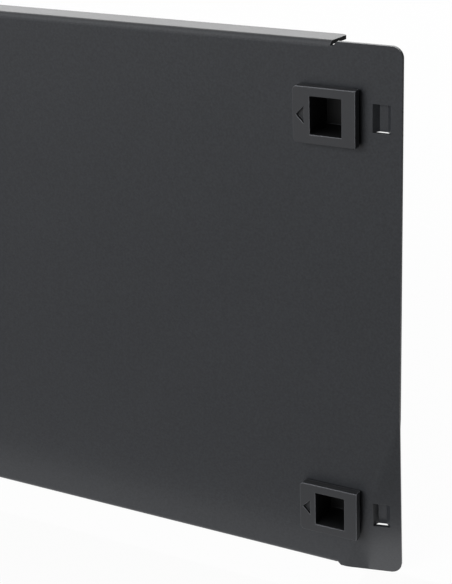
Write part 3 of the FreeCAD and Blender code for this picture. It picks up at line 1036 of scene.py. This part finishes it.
class PANEL_OT_plate_hardware(bpy.types.Operator):
    """Zinc plate the bolts, studs and nuts"""

    bl_idname = "blanking.plate_hardware"
    bl_label = "Plate the hardware"

    def execute(self, context):
        hardware = context.scene.blanking_hardware
        zinc = surface(
            "Zinc plate",
            tuple(hardware.zinc_colour),
            roughness=0.34,
            grain=0.25 * MM,
            relief=0.003 * MM,
            edge=0.1 * MM,
            tone=0.12,
            Metallic=1.0,
        )
        for latch in LATCHES:
            finish_node(f"{latch}_bolt", zinc)
        clearance = 0.02 * MM
        low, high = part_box("weld_studs")
        stud = stud_mesh(high.y - low.y, hardware.thread, hardware.pitch)
        studs = scattered("threaded_studs", stud, centres("weld_studs", STUD_REACH), zinc)
        piece("threaded_studs", studs, SHEET_BODY, "weld_studs")
        low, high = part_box("stud_nuts")
        nut = nut_mesh(NUT_FLATS, STUD_THREAD + clearance, high.y - low.y)
        nuts = scattered("chamfered_nuts", nut, centres("stud_nuts", NUT_REACH), zinc)
        piece("chamfered_nuts", nuts, SHEET_BODY, "stud_nuts")
        return {"FINISHED"}


class PANEL_OT_wind_springs(bpy.types.Operator):
    """Wind the four return springs"""

    bl_idname = "blanking.wind_springs"
    bl_label = "Wind the springs"

    def execute(self, context):
        hardware = context.scene.blanking_hardware
        steel = surface(
            "Spring wire",
            tuple(hardware.wire_colour),
            roughness=0.28,
            grain=0.2 * MM,
            relief=0.002 * MM,
            Metallic=1.0,
        )
        for latch in LATCHES:
            node = f"{latch}_spring"
            mesh = coil_mesh(
                f"{latch}_coil", node, hardware.wire, hardware.turns, hardware.closed, steel
            )
            coil = piece(f"{latch}_coil", mesh, SHEET_BODY, node)
            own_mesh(coil)
        return {"FINISHED"}


class PANEL_OT_set_stage(bpy.types.Operator):
    """Set up the floor, backdrop, lamps, room and camera"""

    bl_idname = "blanking.set_stage"
    bl_label = "Set the stage"

    def execute(self, context):
        stage = context.scene.blanking_stage
        low, high = CAD_BOX
        lift = 0.1 * MM
        white = background_material((*stage.backdrop_colour, 1.0), stage.shadow_share)
        sweep_floor(
            "floor",
            front=-0.10,
            back=2.2,
            half_width=3.0,
            low=low.z,
            high=2.6,
            radius=0.8,
            material=white,
        )
        level_card(
            "front_card", stage.front_shade, x=(-1.5, 1.5), y=(-0.6, -0.02), z=low.z + lift
        )
        level_card(
            "foot_card",
            stage.foot_shade,
            x=(0.229, 0.30),
            y=(-0.017, 0.002),
            z=low.z + 2 * lift,
        )
        upright_card(
            "side_card",
            stage.side_shade,
            x=high.x + 0.12,
            y=(-0.6, 0.5),
            z=(low.z, high.z + 0.35),
        )
        level_card("sky_card", stage.sky_shade, x=(-1.4, 1.0), y=(-1.6, -0.25), z=1.1)
        softbox(
            "key",
            place=(-0.35, -1.5, 0.6),
            target=(high.x - (high.z - low.z) / 2, 0.0, 0.0),
            width=1.0,
            height=1.0,
            watts=stage.key,
            mirrored=False,
        )
        softbox(
            "back",
            place=(0.0, 1.5, 0.75),
            target=(0.0, 0.0, high.z),
            width=3.0,
            height=0.7,
            watts=stage.back,
        )
        light_room(stage.daylight)
        camera = bpy.data.cameras.new("camera")
        camera.lens = stage.lens
        camera.clip_start = 0.01
        stand = placed("camera", camera)
        stand.matrix_world = (
            Matrix.Translation(stage.camera_place)
            @ Matrix.Rotation(stage.camera_yaw, 4, "Z")
            @ Matrix.Rotation(math.pi / 2 - stage.camera_pitch, 4, "X")
            @ Matrix.Rotation(-stage.camera_roll, 4, "Z")
        )
        context.scene.camera = stand
        context.scene.view_settings.view_transform = "Standard"
        return {"FINISHED"}


class PANEL_PT_sidebar(bpy.types.Panel):
    """The steps that finish the panel, in order"""

    bl_label = "Blanking panel"
    bl_idname = "PANEL_PT_sidebar"
    bl_space_type = "VIEW_3D"
    bl_region_type = "UI"
    bl_category = "Blanking panel"

    def draw(self, context):
        for step in STEPS:
            self.layout.operator(step.bl_idname)


STEPS = (
    PANEL_OT_coat_sheet,
    PANEL_OT_mould_latches,
    PANEL_OT_plate_hardware,
    PANEL_OT_wind_springs,
    PANEL_OT_set_stage,
)
SETTINGS = {
    "blanking_coat": CoatSettings,
    "blanking_moulding": MouldingSettings,
    "blanking_hardware": HardwareSettings,
    "blanking_stage": StageSettings,
}


def register():
    """Register the settings, the steps and the sidebar."""
    for settings in SETTINGS.values():
        bpy.utils.register_class(settings)
    for name, settings in SETTINGS.items():
        setattr(bpy.types.Scene, name, PointerProperty(type=settings))
    for step in STEPS:
        bpy.utils.register_class(step)
    bpy.utils.register_class(PANEL_PT_sidebar)


def unregister():
    """Undo what register does, in the opposite order."""
    bpy.utils.unregister_class(PANEL_PT_sidebar)
    for step in reversed(STEPS):
        bpy.utils.unregister_class(step)
    for name, settings in SETTINGS.items():
        delattr(bpy.types.Scene, name)
        bpy.utils.unregister_class(settings)


def main():
    """Register everything and carry out every step."""
    register()
    for step in STEPS:
        group, name = step.bl_idname.split(".")
        getattr(getattr(bpy.ops, group), name)()


if __name__ == "__main__":
    main()
